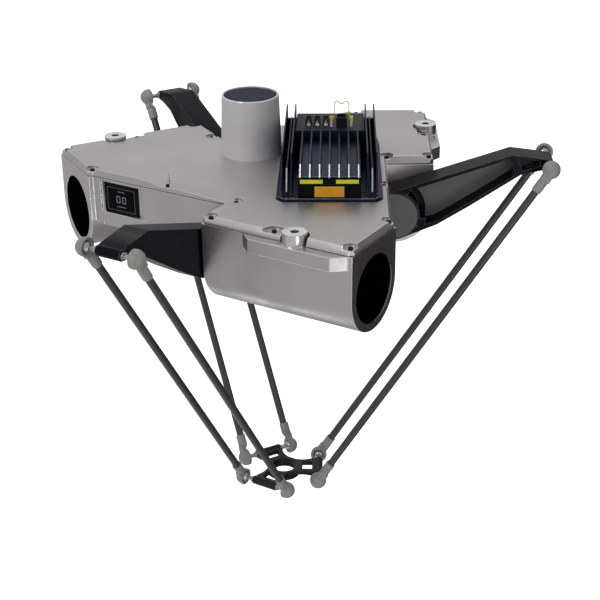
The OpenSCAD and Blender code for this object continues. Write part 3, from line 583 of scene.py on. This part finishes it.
def round_edges(bm, width):
    """Bevels the sharp edges of a closed mesh, and marks the new faces."""
    edge_mark = bm.loops.layers.float.new("edge")
    sharp = [e for e in bm.edges if e.is_manifold and abs(e.calc_face_angle(0)) > SHARP]
    made = bmesh.ops.bevel(
        bm, geom=sharp, offset=width, offset_type="OFFSET", segments=ROUNDING_STEPS, profile=0.5,
        affect="EDGES", clamp_overlap=False, loop_slide=True, material=-1)
    for face in made["faces"]:
        for loop in face.loops:
            loop[edge_mark] = 1.0
    return len(sharp)


# %% [markdown]
# ## From a mesh to a piece of the robot
#
# A finished mesh becomes an object that rides on a body, so it moves when the
# body does. Its shading is smooth across the roundings and sharp elsewhere.
# A weighted normal modifier keeps the large flat faces flat to the eye. A
# solid often needs two finishes, such as a painted casting with bare pads, so
# a test may say which of the materials a face gets.

# %% From a mesh to a piece of the robot
SMOOTH_BELOW = math.radians(32)


def finished(name, bm, body, slot, *materials):
    """Turns a mesh into a piece of the robot that rides on a body."""
    mesh = bpy.data.meshes.new(name)
    bm.to_mesh(mesh)
    bm.free()
    for material in materials:
        mesh.materials.append(material)
    mesh.polygons.foreach_set("use_smooth", [True] * len(mesh.polygons))
    mesh.set_sharp_from_angle(angle=SMOOTH_BELOW)
    piece = bpy.data.objects.new(name, mesh)
    scene.collection.objects.link(piece)
    shading = piece.modifiers.new("even_shading", "WEIGHTED_NORMAL")
    shading.keep_sharp = True
    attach(piece, body)
    return piece


def body_of(node):
    """The body that a solid belongs to."""
    bodies = frame["record"]["behaviour"]["bodies"]
    return next(body for body, members in bodies.items() if node in members)


def reach(node, axis):
    """How far a solid goes along a direction: lowest and highest."""
    along = [axis.dot(v.co) for v in frame["nodes"][node].data.vertices]
    return min(along), max(along)


def leg_axes(leg):
    """The outward and the sideways direction of a leg."""
    turn = math.radians(LEGS[leg])
    return Vector((math.cos(turn), math.sin(turn), 0)), Vector((-math.sin(turn), math.cos(turn), 0))


def dressed(node, width, slot, *materials, second=None):
    """A rounded copy of a solid that takes its place."""
    bm = merged_copy(node)
    count = round_edges(bm, width)
    if second:
        bm.normal_update()
        for face in bm.faces:
            face.material_index = second(face)
    piece = finished("dressed_" + node, bm, body_of(node), slot, *materials)
    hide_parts(node)
    print(f"{node}: {count} edges rounded, {len(piece.data.polygons)} faces")
    return piece


print("shading is smooth below", round(math.degrees(SMOOTH_BELOW)), "degrees")

# %% [markdown]
# ## Casing, cover and tower
#
# The three largest castings get the widest roundings, about a millimetre, as
# sand or die castings have. The three pads that the robot hangs from are
# milled after painting, so they are bare. They are found as the highest parts
# of the casting, set on the bolt circle that the record gives.

# %% Casing, cover and tower
# How far a pad's faces go from its middle, and how far down from its top.
PAD_FACE = 24 * MM
PAD_TOP = 15 * MM
mount = next(mount for mount in frame["record"]["mounts"] if mount["name"] == "base_mounts")
ring = mount["dims"]["pcd_mm"] * MM / 2
casting_top = reach("base_casting", Vector((0, 0, 1)))[1]


def pad_places():
    """The middles of the pads: high on the casting, on the mounts' circle."""
    points = frame["nodes"]["base_casting"].data.vertices
    high = [v.co.xy for v in points if v.co.z > casting_top - MM]
    places = []
    for spot in high:
        near = [other for other in high if (other - spot).length < 2 * PAD_FACE]
        middle = sum(near, Vector((0, 0))) / len(near)
        if all((middle - place).length > PAD_FACE for place in places):
            places.append(middle.normalized() * ring)
    return places


pads = pad_places()


def is_pad(face):
    """Whether a face belongs to one of the machined pads."""
    middle = face.calc_center_median()
    near = min((middle.xy - place).length for place in pads)
    return int(near < PAD_FACE and middle.z > casting_top - PAD_TOP)


print("pads", [[round(v, 3) for v in place] for place in pads])

dressed("base_casting", 1.1 * MM, "casting_grey", casting_paint, pad_metal, second=is_pad)
dressed("top_cover", 0.8 * MM, "cover_grey", cover_paint)
dressed("cable_tower", 0.8 * MM, "tower_grey", tower_paint)
dressed("tower_cap", 0.5 * MM, "cap_blue", cap_plastic)
dressed("cover_screws", 0.35 * MM, "black_screw", oxide_steel)

# %% [markdown]
# ## Amplifier
#
# The amplifier is a finned block with an electronics box under the fins. The
# sloped front ends of the low fins face up and forwards, into the light, and
# are given a pale metal finish as a painted highlight. A face is given the
# second finish by a small test of where it is and which way it points.

# %% Amplifier
sink_top = reach("heat_sink", Vector((0, 0, 1)))[1]
# How much a sloped end faces forwards and up, at the least.
SLOPE = 0.25
# How far the guard fins at the sides stand over the low fins, at the least.
GUARD_RISE = 10 * MM


def is_fin_end(face):
    """Whether a face is the sloped front end of a low fin."""
    sloped = face.normal.y < -SLOPE and face.normal.z > SLOPE
    low_fin = max(v.co.z for v in face.verts) < sink_top - GUARD_RISE
    return int(sloped and low_fin)


# The sloped fin ends get the pale metal as a painted highlight.
dressed("heat_sink", 0.3 * MM, "anodised_blue", fin_blue, fin_end_highlight, second=is_fin_end)
dressed("amp_front_plate", 0.4 * MM, "front_black", front_black)
dressed("connector_shelf", 0.4 * MM, "shelf_blue", shelf_blue)
dressed("signal_connectors", 0.25 * MM, "connector_body", connector_nylon)
dressed("power_inlet", 0.4 * MM, "inlet_black", inlet_plastic)
dressed("fin_labels", 0.15 * MM, "label_yellow", label_yellow)

# %% [markdown]
# ## Posts of the bail
#
# The wire bail turns in two posts. They are white nylon below, with a coloured
# cap on each that tells the two sides apart.

# %% Posts of the bail
CAP_HEIGHT = 8.2 * MM
post_top = reach("bail_brackets", Vector((0, 0, 1)))[1]
post_middle = sum(reach("bail_brackets", Vector((1, 0, 0)))) / 2


def post_finish(face):
    """White below the cap; the two caps have a colour each."""
    middle = face.calc_center_median()
    if middle.z < post_top - CAP_HEIGHT:
        return 1
    return 2 if middle.x > post_middle else 0


dressed(
    "bail_brackets", 0.4 * MM, "bracket_yellow", post_yellow, white_nylon, post_lime,
    second=post_finish)

# %% [markdown]
# ## Front plate label
#
# The label is a thin coloured plate with a paler border. Insetting its front
# face makes the border without a second piece.

# %% Front plate label
BORDER = 1.2 * MM
bm = merged_copy("front_label")
round_edges(bm, 0.15 * MM)
bm.normal_update()
front = max(bm.faces, key=lambda face: -face.normal.y * face.calc_area())
made = bmesh.ops.inset_region(bm, faces=[front], thickness=BORDER, use_even_offset=True)
for face in made["faces"]:
    face.material_index = 1
body = body_of("front_label")
plate = finished("dressed_front_label", bm, body, "label_orange", label_orange, label_border)
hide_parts("front_label")
print("label border", len(made["faces"]), "faces")

# %% [markdown]
# ## Latches of the signal connectors
#
# Each signal connector has a white latch at its front foot and a small
# release above it. They are rows of little blocks, so one helper makes a
# block and a loop sets the row. Each latch goes slightly into the connector
# behind it, as a moulded part would, and each release sits against its front.

# %% Latches of the signal connectors
INTO = 0.1 * MM
CONNECTORS = 3
CONNECTOR_HALF = 6 * MM
LATCH = Vector((6.5, 1.6, 5.0)) * MM
RELEASE = Vector((2.0, 1.2, 2.4)) * MM
RELEASE_UP = 8 * MM


def add_block(bm, size, place):
    """Adds a block of a size at a place."""
    made = bmesh.ops.create_cube(bm, size=1)
    bmesh.ops.scale(bm, verts=made["verts"], vec=size)
    bmesh.ops.translate(bm, verts=made["verts"], vec=place)


low, high = (Vector(corner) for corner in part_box("signal_connectors"))
pitch = (high.x - low.x - 2 * CONNECTOR_HALF) / (CONNECTORS - 1)
bm = bmesh.new()
for i in range(CONNECTORS):
    across = low.x + CONNECTOR_HALF + i * pitch
    add_block(bm, LATCH, (across, low.y - LATCH.y / 2 + INTO, low.z + LATCH.z / 2))
    add_block(bm, RELEASE, (across, low.y - RELEASE.y / 2, low.z + RELEASE_UP))
round_edges(bm, 0.25 * MM)
finished("connector_latches", bm, "base", "connector_body", white_nylon)
print("latches", CONNECTORS, "at a pitch of", round(pitch * 1000, 1), "mm")

# %% [markdown]
# ## Ridges of the power inlet
#
# The plug of the power inlet has finger ridges on its front, one above the
# other. They are spaced evenly over its height. The first is most of a step
# above the foot, and a little more than half a step stays free at the top.

# %% Ridges of the power inlet
RIDGE = Vector((18.0, 0.9, 1.3)) * MM
RIDGES = 5
FIRST_STEP = 0.8
ALL_STEPS = RIDGES + 0.6

low, high = (Vector(corner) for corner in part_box("power_inlet"))
ridge_step = (high.z - low.z) / ALL_STEPS
bm = bmesh.new()
for i in range(RIDGES):
    up = low.z + (i + FIRST_STEP) * ridge_step
    add_block(bm, RIDGE, ((low.x + high.x) / 2, low.y - RIDGE.y / 2 + INTO, up))
round_edges(bm, 0.25 * MM)
finished("inlet_ridges", bm, "base", "inlet_black", inlet_plastic)
print("ridges", RIDGES, "every", round(ridge_step * 1000, 1), "mm")

# %% [markdown]
# ## Status display
#
# The display is a black glass pane with two digits in a thin frame, on a
# panel that is held by a screw at each corner. Its parts are drawn flat, with
# X to the right, Y up and Z out of the glass, and a matrix then turns each
# drawing onto the side of leg B. The pane comes first.

# %% Status display
PANE_MARGIN = Vector((15.0, 13.0)) * MM
PANE_THICK = 0.5 * MM
UP = Vector((0, 0, 1))
out_b, right_b = leg_axes("b")
face_at = reach("display_panel", out_b)[1]
left, right = reach("display_panel", right_b)
bottom, top = reach("display_panel", UP)
pane = Vector((right - left - PANE_MARGIN.x, top - bottom - PANE_MARGIN.y, PANE_THICK))
centre_b = out_b * face_at + right_b * (left + right) / 2 + UP * (bottom + top) / 2
onto_side = Matrix((right_b, UP, out_b)).transposed().to_4x4()
onto_side.translation = centre_b


def on_display(name, bm, slot, material, width):
    """Rounds a drawing of the display and turns it into place."""
    round_edges(bm, width)
    bm.transform(onto_side)
    return finished(name, bm, "base", slot, material)


bm = bmesh.new()
add_block(bm, pane, (0, 0, pane.z / 2))
on_display("display_pane", bm, "display_black", display_glass, 0.2 * MM)
print("display pane", [round(v * 1000) for v in pane.xy], "mm")

# %% [markdown]
# ## Digits of the display
#
# The display shows two noughts. Each is made of four bars, and a short line
# above and one below stand for the rest of the readout. The bars are a
# fraction of a millimetre proud of the glass.

# %% Digits of the display
BAR = 1.5 * MM
INK = 0.2 * MM
DIGIT_W = 7.0 * MM
DIGIT_H = 12.0 * MM
DIGIT_STEP = 6.5 * MM
LINE_H = 1.2 * MM
# The height and the length of the two lines, in millimetres.
LINES = ((15, 16), (-14, 20))
ink_at = pane.z + 0.05 * MM
bm = bmesh.new()
for digit in (-1, 1):
    across = digit * DIGIT_STEP
    for row in (-1, 1):
        add_block(bm, (DIGIT_W, BAR, INK), (across, row * DIGIT_H / 2, ink_at))
    for column in (-1, 1):
        place = (across + column * DIGIT_W / 2, 0, ink_at)
        add_block(bm, (BAR, DIGIT_H + BAR, INK), place)
for row, length in LINES:
    add_block(bm, (length * MM, LINE_H, INK), (0, row * MM, ink_at))
on_display("display_digits", bm, "display_black", display_ink, 0.05 * MM)
print("digits", DIGIT_W * 1000, "by", DIGIT_H * 1000, "mm")

# %% [markdown]
# ## Frame and panel of the display
#
# Four thin strips frame the pane. The two level ones go past the corners, so
# no gap is left there. The panel behind and its screws are solids that only
# need softer edges.

# %% Frame and panel of the display
STRIP = 0.6 * MM
STRIP_RISE = 0.9 * MM
bm = bmesh.new()
for side in (-1, 1):
    edge = Vector((pane.x / 2, pane.y / 2)) * side
    add_block(bm, (pane.x + 2 * STRIP, STRIP, STRIP_RISE), (0, edge.y, STRIP_RISE / 2))
    add_block(bm, (STRIP, pane.y, STRIP_RISE), (edge.x, 0, STRIP_RISE / 2))
on_display("display_bezel", bm, "display_black", bezel_silver, 0.12 * MM)
dressed("display_panel", 0.3 * MM, "display_black", front_black)
dressed("display_screws", 0.3 * MM, "black_screw", oxide_steel)

# %% [markdown]
# ## Drives and arms
#
# Each arm is hollowed from one side. The floor of the hollow is given a mid
# grey, lighter than the arm's near-black coat, and the crescent beside the hub
# and the slot near the tip go deeper and stay black, which is what makes the
# arm look carved. A face belongs to the floor if it looks out of the open side
# and lies at the hollow's depth.

# %% Drives and arms
FLOOR_DEPTH = (20 * MM, 40 * MM)
SQUARE_ON = 0.9


def hollow_floor(leg):
    """A test for the faces on the floor of an arm's hollow."""
    sideways = leg_axes(leg)[1]
    open_side = reach(f"inner_arm_{leg}", sideways)[0]

    def finish_of(face):
        depth = sideways.dot(face.calc_center_median()) - open_side
        towards = face.normal.dot(sideways) < -SQUARE_ON
        return int(towards and FLOOR_DEPTH[0] < depth < FLOOR_DEPTH[1])

    return finish_of


for leg in LEGS:
    dressed(f"end_cover_{leg}", 0.35 * MM, "end_cover_black", end_plastic)
    floor_test = hollow_floor(leg)
    dressed(f"inner_arm_{leg}", 0.8 * MM, "arm_coat", arm_black, pocket_grey, second=floor_test)
    dressed(f"hub_cap_{leg}", 0.2 * MM, "hub_grey", hub_grey)
    dressed(f"drive_flange_{leg}", 0.4 * MM, "flange_steel", flange_steel)
    dressed(f"knee_studs_{leg}", 0.3 * MM, "stud_steel", stud_steel)
    dressed(f"gear_reducer_{leg}", 0.6 * MM, "reducer_steel", gear_steel)
    dressed(f"servo_motor_{leg}", 0.8 * MM, "motor_black", motor_paint)

# %% [markdown]
# ## Rods
#
# A rod is a wound tube. The weave has to run round it, so the tube is made
# upright with a UV map in metres, U round it and V along it, and then turned
# into place between its two balls. The upper ball is where the rod's joint
# is, and the lower one is a piece of its own. U is counted from the middle of
# each face, so that it doesn't jump where the circle closes.

# %% Rods
TUBE_SIDES = 40
TUBE_ROUNDING = 0.5 * MM


def wound_tube(leg, side):
    """A rod's tube, with a UV map that follows it."""
    node = f"rod_tube_{leg}{side}"
    knee = Vector(joints[f"rod_{leg}{side}"]["pos_m"])
    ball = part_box(f"wrist_ball_{leg}{side}")
    wrist = (Vector(ball[0]) + Vector(ball[1])) / 2
    axis = (knee - wrist).normalized()
    sideways = leg_axes(leg)[1]
    start, end = reach(node, axis)
    across = reach(node, sideways)
    radius = (across[1] - across[0]) / 2
    bm = bmesh.new()
    bmesh.ops.create_cone(
        bm, cap_ends=True, segments=TUBE_SIDES, radius1=radius, radius2=radius, depth=end - start)
    round_edges(bm, TUBE_ROUNDING)
    tube_map = bm.loops.layers.uv.new("tube")
    for face in bm.faces:
        middle = face.calc_center_median()
        for loop in face.loops:
            turn = Vector((middle.x, middle.y)).angle_signed(loop.vert.co.xy, 0.0)
            around = math.atan2(middle.y, middle.x) - turn
            loop[tube_map].uv = (around * radius, loop.vert.co.z)
    upright = Matrix((sideways, axis.cross(sideways), axis)).transposed().to_4x4()
    upright.translation = wrist + axis * ((start + end) / 2 - axis.dot(wrist))
    bm.transform(upright)
    piece = finished("wound_" + node, bm, body_of(node), "rod_carbon", rod_carbon)
    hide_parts(node)
    return radius, end - start


for leg in LEGS:
    for side in "12":
        radius, length = wound_tube(leg, side)
        dressed(f"rod_sockets_{leg}{side}", 0.35 * MM, "socket_plastic", socket_nylon)
        dressed(f"wrist_ball_{leg}{side}", 0.2 * MM, "ball_steel", ball_steel)
print(f"tube radius {radius * 1000:.1f} mm, length {length * 1000:.0f} mm")

# %% [markdown]
# ## Platform
#
# The platform is a thin machined plate with a stud for each ball and a flange
# for the tool. Small parts get small roundings, or they would look soft.

# %% Platform
dressed("platform_plate", 0.7 * MM, "platform_coat", platform_black)
dressed("wrist_studs", 0.3 * MM, "stud_steel", stud_steel)
dressed("tool_flange", 0.4 * MM, "tool_dark", tool_black)

# %% [markdown]
# ## Solids that keep their own mesh
#
# The rubber seals and the wire bail are round and fine enough as they are, so
# only their finish is changed.

# %% Solids that keep their own mesh
KEPT = {"seals": gasket_rubber, "wire_bail": wire_yellow}
for node, material in KEPT.items():
    for place in frame["nodes"][node].material_slots:
        place.material = material
print("kept", sorted(KEPT))

# %% [markdown]
# ## Size of the dressed robot
#
# The last line prints the box of the dressed robot, to set beside the box of
# the solids that the first cell prints. The dressed robot has to stay inside
# the box of the solids, apart from a few tenths of a millimetre.

# %% Size of the dressed robot
low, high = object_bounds()
print("dressed box", [round(v, 3) for v in (*low, *high)])
